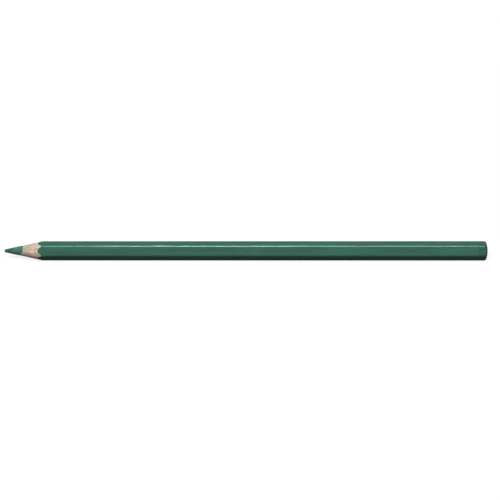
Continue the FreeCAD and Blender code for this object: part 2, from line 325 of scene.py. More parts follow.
def path_round(front, run, rear, back=1):
    """The closed path round a piece's long section: out along the sharpened cut, along the
    outside, in over the butt, and back along the inside. For each row it gives how far out the
    row is (0 inside, 1 outside) and how far along (0 at the point, 1 at the butt)."""
    out = [np.linspace(0, 1, front + 1), np.ones(run), np.linspace(1, 0, rear + 1)[1:], np.zeros(back - 1)]
    along_back = np.linspace(1, 0, back + 1)[1:-1]
    along = [np.zeros(front + 1), np.linspace(0, 1, run + 1)[1:], np.ones(rear), along_back]
    return np.concatenate(out)[:, None], np.concatenate(along)[:, None]


def along_path(radius, along, shape):
    """Where along the barrel each row lies, between the sharpened cut and the butt."""
    return (1 - along) * point_x(radius, shape) + along * butt_x(radius, BUTT_COVER, shape)


def sink(x, radius, depth, shape):
    """Moves points of the sharpened cone inwards, square to its surface."""
    return x + depth * math.sin(shape.cone_half_angle), radius - depth * math.cos(shape.cone_half_angle)


def core_mesh(shape):
    """The core: a round stick with a scored, worn point, which stands proud of the wood."""
    turn = np.arange(CORE_COLUMNS)[None, :] * WHOLE_TURN / CORE_COLUMNS
    out, along = path_round(front=200, run=10, rear=8)
    out, along = out[1:-1], along[1:-1]
    radius = out * channel(turn, CORE_RADIUS)
    x = along_path(radius, along, shape)
    points = place(x, radius, turn)
    rings = smooth_noise(points, (7.0, 0.9, 0.9), 3.0)
    crumbs = smooth_noise(points, (5.0, 5.0, 5.0), 11.0)
    scored = shape.score_depth * (0.45 + 0.35 * rings + 0.3 * np.clip(crumbs, 0, 1))
    scored = scored * fade(1 - out, 0.04) * fade(out, 0.1)
    proud = shape.core_swell * fade(1 - out, 0.12) * fade(out - 0.06, 0.3)
    x, radius = sink(x, radius, (scored - proud) * (along == 0), shape)
    return turned_stick("pigment_core", place(x, radius, turn), TIP_X, WOOD_END_X)


def wood_section(turn, out):
    """How far from the axis a point between groove and coats is, and the angle that half of the
    glue's thickness takes up there."""
    groove = channel(turn, GROOVE_RADIUS)
    radius = groove + out * (barrel_radius(turn, WOOD_COVER) - groove)
    return radius, np.arcsin(GLUE_THICKNESS / 2 / radius)


def slat_mesh(name, shape, first_turn, seed):
    """A slat: half of the wood, grooved for the core, with its sharpened face torn along the grain."""
    part = np.linspace(0, 1, SLAT_COLUMNS)[None, :]
    out, along = path_round(front=180, run=14, rear=12, back=14)
    turn = first_turn + part * math.pi + 0 * out
    for _ in range(SETTLING_ROUNDS):
        radius, clearance = wood_section(turn, out)
        turn = first_turn + clearance + part * (math.pi - 2 * clearance)
    x = along_path(radius, along, shape)
    points = place(x, radius, turn)
    pores = np.clip(smooth_noise(points, (0.8, 6.0, 6.0), seed) - 0.15, 0, 1) * 2
    fibres = smooth_noise(points, (1.6, 13.0, 13.0), seed + 20)
    blade = smooth_noise(points, (6.0, 0.7, 0.7), seed + 40)
    torn = shape.pore_depth * (0.6 * pores + 0.22 * (fibres + 1) / 2 + 0.18 * (blade + 1) / 2)
    torn = torn * (along == 0) * fade(np.minimum(out, 1 - out), 0.05)
    x, radius = sink(x, radius, torn, shape)
    return sector(name, place(x, radius, turn))


def sleeve_mesh(shape):
    """The glue round the core."""
    turn = crowded_turns()
    out, along = path_round(front=3, run=12, rear=2, back=12)
    core = channel(turn, CORE_RADIUS)
    radius = core + out * (channel(turn, GROOVE_RADIUS) - core)
    grid = place(along_path(radius, along, shape), radius, turn)
    rows, columns = grid.shape[:2]
    return mesh_from("sleeve", grid.reshape(-1, 3).tolist(), grid_faces(rows, columns, True, True))


def seam_mesh(shape, seam_turn):
    """The thin sheet of glue on one side of the core, between the slats."""
    out, along = path_round(front=16, run=12, rear=8, back=12)
    turn = seam_turn + 0 * out
    radius, clearance = wood_section(turn, out)
    turn = np.concatenate([turn - clearance, turn + clearance], axis=1)
    return sector("seam", place(along_path(radius, along, shape), radius, turn))


def glue_mesh(shape):
    """The sleeve and both seams in one mesh."""
    work = bmesh.new()
    work.from_mesh(sleeve_mesh(shape))
    for seam_turn in (JOINT_ANGLE, JOINT_ANGLE + math.pi):
        work.from_mesh(seam_mesh(shape, seam_turn))
    mesh = bpy.data.meshes.new("dried_glue")
    work.to_mesh(mesh)
    work.free()
    return mesh


# ---- The dipped end ----

# A thin lip where the dip starts, a plain stretch of barrel, and a dome over the butt.
LIP_LENGTH = 0.14 * MM
LIP_DEPTH = 0.02 * MM
LIP_ROWS = 6
PLAIN_ROWS = 8
DOME_LENGTH = 1.9 * MM
DOME_ROWS = 60
INSIDE_ROWS = 26

# How softly the hexagon melts into the dome, and how finely the dome is looked up.
DIP_SOFTNESS = 0.05 * MM
DOME_SAMPLES = 400

# Ahead of the dome its radius keeps growing at this slope, so that the hexagon is the nearer there.
DOME_FLARE = 1.5


def dip_rule(x, turn, cover, softness, shape):
    """Distance from the axis to the end's surface: the hexagon, melting into the rounded butt."""
    sides = barrel_radius(turn, cover)
    inward = np.linspace(0, shape.butt_reach - cover, DOME_SAMPLES)
    ends = butt_x(inward, cover, shape)
    rounded = np.interp(-x, -ends, inward) + np.maximum(ends[-1] - x, 0) * DOME_FLARE
    nearer = np.minimum(sides, rounded)
    if softness == 0:
        return nearer
    return nearer - softness * np.log1p(np.exp(-np.abs(sides - rounded) / softness))


def dip_mesh(shape):
    """The dipped end: a cap of lacquer, soft-edged outside, fitting the wood inside."""
    turn = crowded_turns()
    bend = np.linspace(0, math.pi / 2, INSIDE_ROWS)[1:, None]
    inner_x = WOOD_END_X - (WOOD_END_X - COAT_END_X) * (1 - np.cos(bend))
    inner = dip_rule(inner_x, turn, BUTT_COVER, 0, shape)

    lip = COAT_END_X + LIP_LENGTH * np.linspace(0, 1, LIP_ROWS)[:-1, None]
    plain = np.linspace(COAT_END_X + LIP_LENGTH, BUTT_X - DOME_LENGTH, PLAIN_ROWS)[:, None]
    bend = np.linspace(0, math.pi / 2, DOME_ROWS)[1:-1, None]
    dome = BUTT_X - DOME_LENGTH * (1 - np.sin(bend))
    outer_x = np.concatenate([lip, plain, dome])
    thinning = 1 - fade(outer_x - COAT_END_X, LIP_LENGTH)
    outer = dip_rule(outer_x, turn, 0, DIP_SOFTNESS, shape) - LIP_DEPTH * thinning ** 2

    rings = np.concatenate([place(inner_x, inner, turn), place(outer_x, outer, turn)])
    return turned_stick("dipped_end", rings, WOOD_END_X, BUTT_X)


# ---- Writing node trees ----

VALUE = "NodeSocketFloat"
COLOUR = "NodeSocketColor"

# The socket that suits a default of each type. A material has no default.
SOCKETS = {float: VALUE, int: "NodeSocketInt", tuple: COLOUR, type(None): "NodeSocketMaterial"}


class Figure:
    """A number or colour worked out by nodes, so that a tree's sums can be written as sums."""

    def __init__(self, tree, socket):
        self.tree = tree
        self.socket = socket

    def step(self, operation, *others, **settings):
        """This figure put through one more node of arithmetic."""
        terms = dict(enumerate((self, *others)))
        return made(self.tree, "ShaderNodeMath", terms, operation=operation, **settings)

    def __add__(self, other):
        return self.step("ADD", other)

    def __sub__(self, other):
        return self.step("SUBTRACT", other)

    def __rsub__(self, other):
        return made(self.tree, "ShaderNodeMath", {0: other, 1: self}, operation="SUBTRACT")

    def __mul__(self, other):
        return self.step("MULTIPLY", other)

    def __truediv__(self, other):
        return self.step("DIVIDE", other)

    def __pow__(self, other):
        return self.step("POWER", other)

    __radd__ = __add__
    __rmul__ = __mul__

    def held(self):
        """Kept between 0 and 1."""
        return self.step("ADD", 0, use_clamp=True)

    def at_least(self, floor):
        return self.step("MAXIMUM", floor)

    def sine(self):
        return self.step("SINE")

    def cosine(self):
        return self.step("COSINE")

    def tangent(self):
        return self.step("TANGENT")

    def root(self):
        return self.at_least(0).step("SQRT")

    def rise(self, low, high):
        """0 below low, 1 above high, and a smooth rise between them."""
        inputs = {"Value": self, "From Min": low, "From Max": high}
        return made(self.tree, "ShaderNodeMapRange", inputs, interpolation_type="SMOOTHSTEP")


def join(tree, value, socket):
    """Gives a socket its value: a link from a figure, or a plain value."""
    if isinstance(value, Figure):
        tree.links.new(value.socket, socket)
    else:
        socket.default_value = value


def add(tree, kind, inputs, **settings):
    """Adds a node with these settings and these inputs, by name or by number."""
    node = tree.nodes.new(kind)
    for name, value in settings.items():
        setattr(node, name, value)
    for name, value in inputs.items():
        join(tree, value, node.inputs[name])
    return node


def made(tree, kind, inputs, output=0, **settings):
    """What a new node gives, at its first output or another."""
    return Figure(tree, add(tree, kind, inputs, **settings).outputs[output])


def vector(tree, x, y, z):
    """A vector with these three parts."""
    return made(tree, "ShaderNodeCombineXYZ", {"X": x, "Y": y, "Z": z})


def parts_of(tree, whole):
    """A vector's three parts."""
    node = add(tree, "ShaderNodeSeparateXYZ", {"Vector": whole})
    return [Figure(tree, socket) for socket in node.outputs]


def noise_at(tree, spot, detail):
    """Noise between 0 and 1, with about one ripple to a unit."""
    return made(tree, "ShaderNodeTexNoise", {"Vector": spot, "Scale": 1, "Detail": detail})


def new_group(name, kind, takes, gives):
    """A node group that takes inputs with these defaults and gives outputs of these kinds.
    Returns it, its inputs as figures, and its output node."""
    tree = bpy.data.node_groups.new(name, kind)
    for label, default in takes.items():
        socket = tree.interface.new_socket(name=label, in_out="INPUT", socket_type=SOCKETS[type(default)])
        if default is not None:
            socket.default_value = default
    for label, socket_kind in gives.items():
        tree.interface.new_socket(name=label, in_out="OUTPUT", socket_type=socket_kind)
    entry = tree.nodes.new("NodeGroupInput")
    figures = {label: Figure(tree, entry.outputs[label]) for label in takes}
    return tree, figures, tree.nodes.new("NodeGroupOutput")


# ---- The coats round the barrel, made by Geometry Nodes ----

# How many rows of faces a coat has: over its cut front edge, along the barrel, over its rear
# edge and back along its inside. The rows along the barrel crowd towards the front.
FRONT_ROWS = 8
RUN_ROWS = 150
REAR_ROWS = 3
INNER_ROWS = 30
RUN_CROWDING = 1.6

# How the lacquer flakes: broad and fine flaking are each read from a ring of noise, with a radius of
# so many ripples. The filler flakes less than the lacquer over it.
BROAD_FLAKES = 6.0
FINE_FLAKES = 24.0
FILLER_CHIP = 0.45

# The coat's faint unevenness: so many ripples to a metre of barrel, and its ring's radius in ripples.
SWELLS_ALONG = 110
SWELLS_ROUND = 1.1


def rounded_hexagon_group():
    """A rounded hexagon's distance from its centre at an angle, a corner being at angle 0."""
    takes = {"Angle": 0.0, "Half Flats": HALF_FLATS, "Corner Radius": CORNER_RADIUS}
    tree, given, result = new_group("Rounded Hexagon", "GeometryNodeTree", takes, {"Radius": VALUE})
    half_flats, corner = given["Half Flats"], given["Corner Radius"]
    from_flat = (given["Angle"].step("WRAP", SIDE_ANGLE, 0) - HALF_SIDE_ANGLE).step("ABSOLUTE")
    from_corner = HALF_SIDE_ANGLE - from_flat
    centre = (half_flats - corner) * CORNER_STRETCH
    fall = (corner * corner - (centre * from_corner.sine()) ** 2).root()
    rounding = centre * from_corner.cosine() + fall
    flat = half_flats / from_flat.cosine()
    half_side = (half_flats - corner) * math.tan(HALF_SIDE_ANGLE)
    on_corner = (half_flats * from_flat.tangent()).step("GREATER_THAN", half_side)
    join(tree, flat + on_corner * (rounding - flat), result.inputs["Radius"])
    return tree


def coat_section(under, over):
    """The inputs that place a coat between two covers, measured inwards from the finished barrel."""
    return {
        "Inner Half Flats": HALF_FLATS - under,
        "Inner Corner": CORNER_RADIUS - under,
        "Outer Half Flats": HALF_FLATS - over,
        "Outer Corner": CORNER_RADIUS - over,
    }


def coat_path(row):
    """How far out each row of a coat lies, and how far along, from 0 to 1, on its way round."""
    stretches = []
    start = 0
    for count in (FRONT_ROWS, RUN_ROWS, REAR_ROWS, INNER_ROWS):
        stretches.append(((row - start) / count).held())
        start += count
    on_front, on_run, on_rear, on_inside = stretches
    return on_front - on_rear, (on_run - on_inside).at_least(0) ** RUN_CROWDING


def ring_noise(tree, turn, seed, ripples):
    """Noise once round the barrel, without a seam."""
    return noise_at(tree, vector(tree, turn.cosine() * ripples, turn.sine() * ripples, seed), 2)


def flaking(tree, turn, outward, seed):
    """How much lacquer has flaked from the sharpened edge: more from the flats than the corners."""
    flatness = 0.5 - 0.5 * (turn * SIDES).cosine()
    broad = ring_noise(tree, turn, seed, BROAD_FLAKES).rise(0.35, 0.7)
    fine = ring_noise(tree, turn, seed + 31, FINE_FLAKES).rise(0.4, 0.75)
    uneven = (0.3 * broad + 0.2 * fine) * (0.35 + 0.65 * flatness)
    return 0.4 * flatness + uneven + 0.1 * fine * outward


def coat_group():
    """A closed shell round the barrel, cut at the front by the sharpened cone."""
    takes = {
        **coat_section(COAT_THICKNESS, 0),
        "Cone Apex": TIP_X,
        "Cone Half Angle": math.radians(CONE_HALF_DEGREES),
        "Rear End": COAT_END_X,
        "Ripple": 0.0,
        "Edge Chip": 0.0,
        "Seed": 0.0,
        "Columns": COLUMNS,
        "Material": None,
    }
    gives = {"Geometry": "NodeSocketGeometry"}
    tree, given, result = new_group("Barrel Coat", "GeometryNodeTree", takes, gives)
    rows = FRONT_ROWS + RUN_ROWS + REAR_ROWS + INNER_ROWS
    grid_inputs = {"Size X": 1, "Size Y": 1, "Vertices X": given["Columns"] + 1, "Vertices Y": rows + 1}
    mesh = made(tree, "GeometryNodeMeshGrid", grid_inputs)
    across, lengthways, _ = parts_of(tree, made(tree, "GeometryNodeInputPosition", {}))
    even = (across + 0.5) * WHOLE_TURN
    turn = even - (even * SIDES).sine() * (CORNER_CROWDING / SIDES)
    outward, along = coat_path(((lengthways + 0.5) * rows).step("ROUND"))

    hexagon = rounded_hexagon_group()
    radii = []
    for side in ("Inner", "Outer"):
        section = {
            "Angle": turn,
            "Half Flats": given[side + " Half Flats"],
            "Corner Radius": given[side + " Corner"],
        }
        radii.append(made(tree, "GeometryNodeGroup", section, node_tree=hexagon))
    inner, outer = radii
    radius = inner + outward * (outer - inner)

    front = given["Cone Apex"] + radius / given["Cone Half Angle"].tangent()
    front = front + flaking(tree, turn, outward, given["Seed"]) * given["Edge Chip"]
    x = front + (given["Rear End"] - front) * along
    swell_y, swell_z = turn.cosine() * SWELLS_ROUND + given["Seed"], turn.sine() * SWELLS_ROUND
    swell = noise_at(tree, vector(tree, x * SWELLS_ALONG, swell_y, swell_z), 1)
    sunk = radius - outward * given["Ripple"] * swell
    placed = vector(tree, x, sunk * turn.cosine(), sunk * turn.sine() + AXIS_Z)

    for kind, inputs in (
        ("GeometryNodeSetPosition", {"Position": placed}),
        ("GeometryNodeMergeByDistance", {"Distance": SEAM_DISTANCE}),
        ("GeometryNodeRealizeInstances", {}),
        ("GeometryNodeSetMaterial", {"Material": given["Material"]}),
    ):
        mesh = made(tree, kind, {"Geometry": mesh, **inputs})
    join(tree, mesh, result.inputs["Geometry"])
    return tree


def mesh_from_nodes(name, tree, values):
    """Runs a Geometry Nodes tree with these inputs, and returns its result as a plain mesh."""
    carrier = put_in_scene(name, bpy.data.meshes.new(name))
    modifier = carrier.modifiers.new(name, "NODES")
    modifier.node_group = tree
    for item in tree.interface.items_tree:
        if item.in_out == "INPUT":
            modifier[item.identifier] = values[item.name]
    graph = bpy.context.evaluated_depsgraph_get()
    mesh = bpy.data.meshes.new_from_object(carrier.evaluated_get(graph))
    carrier.modifiers.remove(modifier)
    bpy.data.objects.remove(carrier)
    return mesh


def coat_mesh(name, shape, material, under, over, ripple, chip, seed):
    """A coat between two covers."""
    tree = bpy.data.node_groups.get("Barrel Coat") or coat_group()
    return mesh_from_nodes(name, tree, {
        **coat_section(under, over),
        "Cone Apex": cone_apex(shape),
        "Cone Half Angle": shape.cone_half_angle,
        "Rear End": COAT_END_X,
        "Ripple": ripple,
        "Edge Chip": chip,
        "Seed": seed,
        "Columns": COLUMNS,
        "Material": material,
    })


# ---- Effects that several finishes share ----

def rgba(values):
    """A colour with its alpha."""
    return (*values, 1)


def here(tree):
    """The point being shaded, on the pencil's own axes."""
    return made(tree, "ShaderNodeTexCoord", {}, "Object")


def grain(tree, stretch, seed=0, detail=2):
    """Noise between 0 and 1, with so many ripples a millimetre along each axis."""
    per_metre = [ripples / MM for ripples in stretch]
    scaled = made(tree, "ShaderNodeVectorMath", {0: here(tree), 1: per_metre}, operation="MULTIPLY")
    shift = vector(tree, seed, seed, seed)
    moved = made(tree, "ShaderNodeVectorMath", {0: scaled, 1: shift}, operation="ADD")
    return noise_at(tree, moved, detail)


def grey(tree, figure):
    """A grey as bright as the figure."""
    return made(tree, "ShaderNodeCombineColor", dict.fromkeys(("Red", "Green", "Blue"), figure))


def mixed(tree, amount, first, second, how="MIX"):
    """One colour laid over another."""
    inputs = {0: amount, 6: first, 7: second}
    return made(tree, "ShaderNodeMix", inputs, 2, data_type="RGBA", blend_type=how)


def lacquer_film(tree, given):
    """A coat of colour: cloudy, with faint lines left by the die it was drawn through, and dust."""
    seed = given["Seed"]
    cloud = grain(tree, (0.05, 0.5, 0.5), seed)
    lines = grain(tree, (0.015, 5.0, 5.0), seed + 7, 3)
    peel = 0.5 * grain(tree, (0.8, 2.2, 2.2), seed + 13) + 0.5 * grain(tree, (2.6, 4.0, 4.0), seed + 15, 1)
    scuff = grain(tree, (0.12, 3.4, 3.4), seed + 19, 4).rise(0.57, 0.72)
    dust = grain(tree, (3.2, 3.2, 3.2), seed + 23, 1).rise(0.74, 0.8)
    tone = 0.62 + 0.5 * cloud + 0.26 * lines
    toned = mixed(tree, 1, given["Colour"], grey(tree, tone), "MULTIPLY")
    dusty = mixed(tree, dust * 0.22 + scuff * 0.05, toned, rgba((0.55, 0.6, 0.56)))
    roughness = given["Roughness"] + 0.1 * (cloud - 0.5) + 0.1 * scuff + 0.25 * dust
    height = 0.5 * lines + 0.4 * peel + 0.1 * dust
    return {"Colour": dusty, "Roughness": roughness, "Height": height}


def sharpener_marks(tree, given):
    """Rings left round the cone by the blade: fine lines square to the barrel."""
    fine = grain(tree, (11.0, 0.35, 0.35), given["Seed"], 3)
    broad = grain(tree, (2.2, 0.12, 0.12), given["Seed"] + 5, 2)
    broken = grain(tree, (1.2, 1.6, 1.6), given["Seed"] + 9, 2).rise(0.35, 0.65)
    rings = (0.65 * fine + 0.35 * broad).rise(0.35, 0.68) * (0.4 + 0.6 * broken)
    return {"Mask": rings, "Height": 0.7 * rings + 0.3 * broad}


def wood_fibre(tree, given):
    """Straight-grained wood cut at a slant: pale, with bands of growth, pores and short flecks."""
    seed = given["Seed"]
    bands = grain(tree, (0.03, 1.1, 1.1), seed, 1)
    fibre = grain(tree, (0.55, 9.0, 9.0), seed + 3, 4)
    hair = grain(tree, (1.4, 26.0, 26.0), seed + 11, 2)
    torn = grain(tree, (0.5, 1.9, 1.9), seed + 37, 3).rise(0.4, 0.62)
    pores = grain(tree, (0.6, 5.5, 5.5), seed + 17, 2).rise(0.57, 0.67)
    flecks = grain(tree, (0.95, 3.4, 3.4), seed + 29, 2).rise(0.59, 0.7)
    blush = grain(tree, (0.35, 0.8, 0.8), seed + 43, 1).rise(0.42, 0.62)
    tone = 0.25 * bands.rise(0.3, 0.7) + 0.3 * fibre.rise(0.3, 0.7) + 0.15 * hair + 0.3 * torn
    base = mixed(tree, tone.rise(0.15, 0.8), given["Late"], given["Early"])
    blushed = mixed(tree, blush * 0.36, base, given["Blush"])
    pored = mixed(tree, pores * 0.66, blushed, given["Fibre"])
    flecked = mixed(tree, flecks * 0.55, pored, given["Fibre"])
    height = 0.35 * fibre + 0.15 * hair + 0.3 * torn - 0.45 * pores - 0.2 * flecks + 0.4
    return {"Colour": flecked, "Roughness": 0.62 + 0.2 * fibre, "Height": height}


def pigment_smear(tree, given):
    """How much of the core's pigment the blade has dragged over what lies next to it."""
    _, y, z = parts_of(tree, here(tree))
    across = y - CORE_Y
    up = z - (AXIS_Z + CORE_RISE)
    beyond = (across * across + up * up).root() - GROOVE_RADIUS
    near = 1 - beyond.rise(0, given["Reach"])
    patches = grain(tree, (0.9, 2.4, 2.4), given["Seed"], 4).rise(0.42, 0.68)
    return {"Mask": near * (0.2 + 0.8 * patches)}


SEEDED = {"Seed": 0.0}
FILM_INPUTS = {"Colour": rgba((0.04, 0.13, 0.09)), "Roughness": 0.35, **SEEDED}
WOOD_INPUTS = {
    "Early": rgba((0.7, 0.55, 0.42)),
    "Late": rgba((0.6, 0.44, 0.32)),
    "Fibre": rgba((0.3, 0.2, 0.12)),
    "Blush": rgba((0.7, 0.5, 0.42)),
    **SEEDED,
}
SMEAR_INPUTS = {"Reach": 0.5 * MM, **SEEDED}
FINISH = {"Colour": COLOUR, "Roughness": VALUE, "Height": VALUE}

# The shared effects: what works each out, what it takes and what it gives.
EFFECTS = {
    "Lacquer Film": (lacquer_film, FILM_INPUTS, FINISH),
    "Sharpener Marks": (sharpener_marks, SEEDED, {"Mask": VALUE, "Height": VALUE}),
    "Wood Fibre": (wood_fibre, WOOD_INPUTS, FINISH),
    "Pigment Smear": (pigment_smear, SMEAR_INPUTS, {"Mask": VALUE}),
}


def effect(tree, name, **values):
    """Places a shared effect in a material, with the material's own values. Builds it if it is new."""
    group = bpy.data.node_groups.get(name)
    if not group:
        work_out, takes, gives = EFFECTS[name]
        group, given, result = new_group(name, "ShaderNodeTree", takes, gives)
        for label, value in work_out(group, given).items():
            join(group, value, result.inputs[label])
    node = add(tree, "ShaderNodeGroup", values, node_tree=group)
    return {socket.name: Figure(tree, socket) for socket in node.outputs}


# ---- Finishes ----

# The green lacquer tints its own reflections.
GREEN_SHEEN = rgba((0.5, 1.0, 0.85))

# Hands and the sharpener's mouth have rubbed the lacquer dull up to here, and less beyond.
RUBBED_END = TIP_X + 12 * MM
RUBBED_FADE = 9 * MM

# How far back the core is dirty from handling, and how far back it is blunt.
HANDLED_LENGTH = 5 * MM
BLUNTED_LENGTH = 1.2 * MM


def new_finish(name, **constants):
    """An empty material with its shader. Constants are set on the shader's own sockets."""
    material = bpy.data.materials.new(name)
    material.use_nodes = True
    shader = material.node_tree.nodes["Principled BSDF"]
    for socket, value in constants.items():
        shader.inputs[socket.replace("_", " ")].default_value = value
    return material, material.node_tree, shader


def deepened(share, base):
    """A darker tone of a colour."""
    return rgba(share * value for value in base)


def surface(tree, shader, base, roughness, height, depth):
    """Joins a finish's colour, roughness and relief to its shader."""
    join(tree, base, shader.inputs["Base Color"])
    join(tree, roughness, shader.inputs["Roughness"])
    relief = made(tree, "ShaderNodeBump", {"Height": height, "Distance": depth})
    join(tree, relief, shader.inputs["Normal"])


def barrel_finish(base):
    """The barrel's lacquer: satin-bright, and rubbed dull for a little way behind the sharpened edge."""
    material, tree, shader = new_finish("Barrel Lacquer", Specular_Tint=GREEN_SHEEN, Coat_Roughness=0.1)
    film = effect(tree, "Lacquer Film", Colour=rgba(base), Roughness=0.19, Seed=17)
    x = parts_of(tree, here(tree))[0]
    patches = grain(tree, (0.5, 1.2, 1.2), 21, 3).rise(0.3, 0.6)
    rubbed = (1 - x.rise(RUBBED_END, RUBBED_END + RUBBED_FADE)) * patches
    join(tree, 0.3 - 0.25 * rubbed, shader.inputs["Coat Weight"])
    roughness = film["Roughness"] + 0.14 * rubbed
    surface(tree, shader, film["Colour"], roughness, film["Height"], depth=0.012 * MM)
    return material


def dip_finish(base):
    """The dipped end: the barrel's colour, glossier, gathered in faint rings where it ran."""
    constants = {"Specular_Tint": GREEN_SHEEN, "Coat_Weight": 0.4, "Coat_Roughness": 0.08}
    material, tree, shader = new_finish("Dipped Lacquer", **constants)
    film = effect(tree, "Lacquer Film", Colour=rgba(base), Roughness=0.17, Seed=71)
    runs = grain(tree, (2.2, 0.35, 0.35), 77).rise(0.45, 0.7)
    darker = mixed(tree, runs * 0.3, film["Colour"], deepened(0.5, base))
    surface(tree, shader, darker, film["Roughness"], film["Height"] + 1.5 * runs, depth=0.012 * MM)
    return material


def wood_finish(name, finish, seed):
    """Bare wood, ringed by the blade and stained with pigment next to the core."""
    material, tree, shader = new_finish(name, Specular_IOR_Level=0.15)
    tones = {
        "Early": rgba(finish.wood),
        "Late": deepened(0.5, finish.wood),
        "Fibre": rgba(finish.fibre),
        "Blush": rgba(finish.blush),
    }
    fibre = effect(tree, "Wood Fibre", **tones, Seed=seed)
    marks = effect(tree, "Sharpener Marks", Seed=seed + 50)
    smear = effect(tree, "Pigment Smear", Reach=0.8 * MM, Seed=seed + 60)
    shaded = mixed(tree, marks["Mask"] * 0.1, fibre["Colour"], rgba(finish.fibre))
    stained = mixed(tree, smear["Mask"] * 0.42, shaded, rgba(finish.core))
    height = fibre["Height"] + 0.35 * marks["Height"]
    surface(tree, shader, stained, fibre["Roughness"], height, depth=0.045 * MM)
    return material


def core_finish(finish):
    """Waxy pigment: crumbly, burnished in rings by the blade and darker where it is worn."""
    material, tree, shader = new_finish("Waxy Pigment", Specular_IOR_Level=0.3)
    marks = effect(tree, "Sharpener Marks", Seed=4)
    crumbs = grain(tree, (4.5, 4.5, 4.5), 9, 4)
    clouds = grain(tree, (0.8, 1.2, 1.2), 12)
    x = parts_of(tree, here(tree))[0]
    handled = 1 - x.rise(TIP_X, TIP_X + HANDLED_LENGTH)
    blunted = 1 - x.rise(TIP_X, TIP_X + BLUNTED_LENGTH)
    red, green, blue = finish.core
    pale = rgba((1.6 * red, 1.9 * green, 2.0 * blue))
    deep = deepened(0.3, finish.core)
    waxed = 0.35 * marks["Mask"] + 0.65 * clouds.rise(0.38, 0.62)
    toned = mixed(tree, waxed, rgba(finish.core), pale)
    pitted = mixed(tree, (1 - crumbs.rise(0.36, 0.52)) * 0.5, toned, deep)
    worn = mixed(tree, 0.5 * handled + 0.25 * blunted, pitted, deep)
    roughness = 0.72 - 0.2 * marks["Mask"] + 0.12 * crumbs
    height = 0.45 * marks["Height"] + 0.55 * crumbs
    surface(tree, shader, worn, roughness, height, depth=0.05 * MM)
    return material


def filler_finish(finish):
    """Pale filler under the colour, grey where the blade has dragged over it."""
    material, tree, shader = new_finish("Pale Filler", Specular_IOR_Level=0.25)
    chalk = grain(tree, (2.0, 5.0, 5.0), 33, 3)
    marks = effect(tree, "Sharpener Marks", Seed=37)
    dragged = mixed(tree, chalk.rise(0.5, 0.7) * 0.45, rgba(finish.filler), rgba(finish.lacquer))
    shaded = mixed(tree, marks["Mask"] * 0.12, dragged, rgba(finish.fibre))
    height = 0.6 * chalk + 0.4 * marks["Height"]
    surface(tree, shader, shaded, 0.7 + 0.15 * chalk, height, depth=0.02 * MM)
    return material


def glue_finish(finish):
    """Dried adhesive, yellowish and a little glassy, stained by the core."""
    material, tree, shader = new_finish("Dried Adhesive", Specular_IOR_Level=0.4)
    bubbles = grain(tree, (1.4, 6.0, 6.0), 41, 3)
    smear = effect(tree, "Pigment Smear", Reach=1.2 * MM, Seed=45)
    toned = mixed(tree, bubbles.rise(0.4, 0.7) * 0.5, rgba(finish.glue), rgba(finish.wood))
    stained = mixed(tree, smear["Mask"] * 0.65, toned, rgba(finish.core))
    surface(tree, shader, stained, 0.45 + 0.25 * bubbles, bubbles, depth=0.02 * MM)
    return material


# ---- The stage ----

# The floor glows and reflects a little where it is looked at. What the lacquer mirrors of it and
# what it throws back at the pencil are darker, and the last is warm.
FLOOR_GLOW = 0.86
FLOOR_MATT = (0.16, 0.16, 0.16)
FLOOR_MIRRORED = (0.06, 0.06, 0.06)
FLOOR_THROWN = (0.105, 0.09, 0.075)
FLOOR_CLOUDS = ((0.97, 0.97, 0.97), (1, 1, 1))
FLOOR_SIDES = 96

# The surround is white to look at, and lights the pencil only faintly.
SURROUND_COLOUR = (1, 0.96, 0.9)
SURROUND_STRENGTH = 0.055

# The lamps: name, size, elevation and turn from the front in degrees, distance, brightness, and
# shift towards the butt. The strips draw the bright line along the barrel, and the short one hangs
# just below the long one, so that the line is brightest over the barrel's front half.
STRIPS = (
    ("Long Strip", (0.36, 0.2), 88, 0, 1.2, 0.39, -0.04),
    ("Short Strip", (0.15, 0.2), 88, 0, 1.16, 0.25, -0.11),
)

# The softboxes light the colours.
SOFTBOXES = (
    ("Key", (0.8, 0.4), 70, -6, 0.8, 1.34, -0.08),
    ("Low Fill", (0.8, 0.3), 8, 0, 0.8, 0.17, 0),
    ("Rear Fill", (0.8, 0.4), 35, 180, 0.8, 0.2, 0),
    ("End Fill", (1.4, 0.7), 30, 80, 1.6, 0.2, 0),
)

# The camera's sensor in millimetres, and how near and how far it sees in metres.
SENSOR_WIDTH = 36
NEAREST_SEEN = 0.01
FARTHEST_SEEN = 100


def light_path_mix(tree, kind, chosen, other):
    """What rays of this kind meet, and what every other ray meets."""
    is_kind = made(tree, "ShaderNodeLightPath", {}, kind)
    return made(tree, "ShaderNodeMixShader", {0: is_kind, 1: other, 2: chosen})


def floor_finish():
    """A pale floor that keeps its tone from edge to edge, and throws little light upwards."""
    material = bpy.data.materials.new("Studio Floor")
    material.use_nodes = True
    tree = material.node_tree
    tree.nodes.remove(tree.nodes["Principled BSDF"])
    glow_colour = mixed(tree, grain(tree, (0.002, 0.002, 0.002)), *map(rgba, FLOOR_CLOUDS))
    glow = made(tree, "ShaderNodeEmission", {"Color": glow_colour, "Strength": FLOOR_GLOW})
    matt, mirrored, thrown = (
        made(tree, "ShaderNodeBsdfDiffuse", {"Color": rgba(tone)})
        for tone in (FLOOR_MATT, FLOOR_MIRRORED, FLOOR_THROWN)
    )
    seen = made(tree, "ShaderNodeAddShader", {0: glow, 1: matt})
    unseen = light_path_mix(tree, "Is Glossy Ray", mirrored, thrown)
    shader = light_path_mix(tree, "Is Camera Ray", seen, unseen)
    join(tree, shader, tree.nodes["Material Output"].inputs["Surface"])
    return material


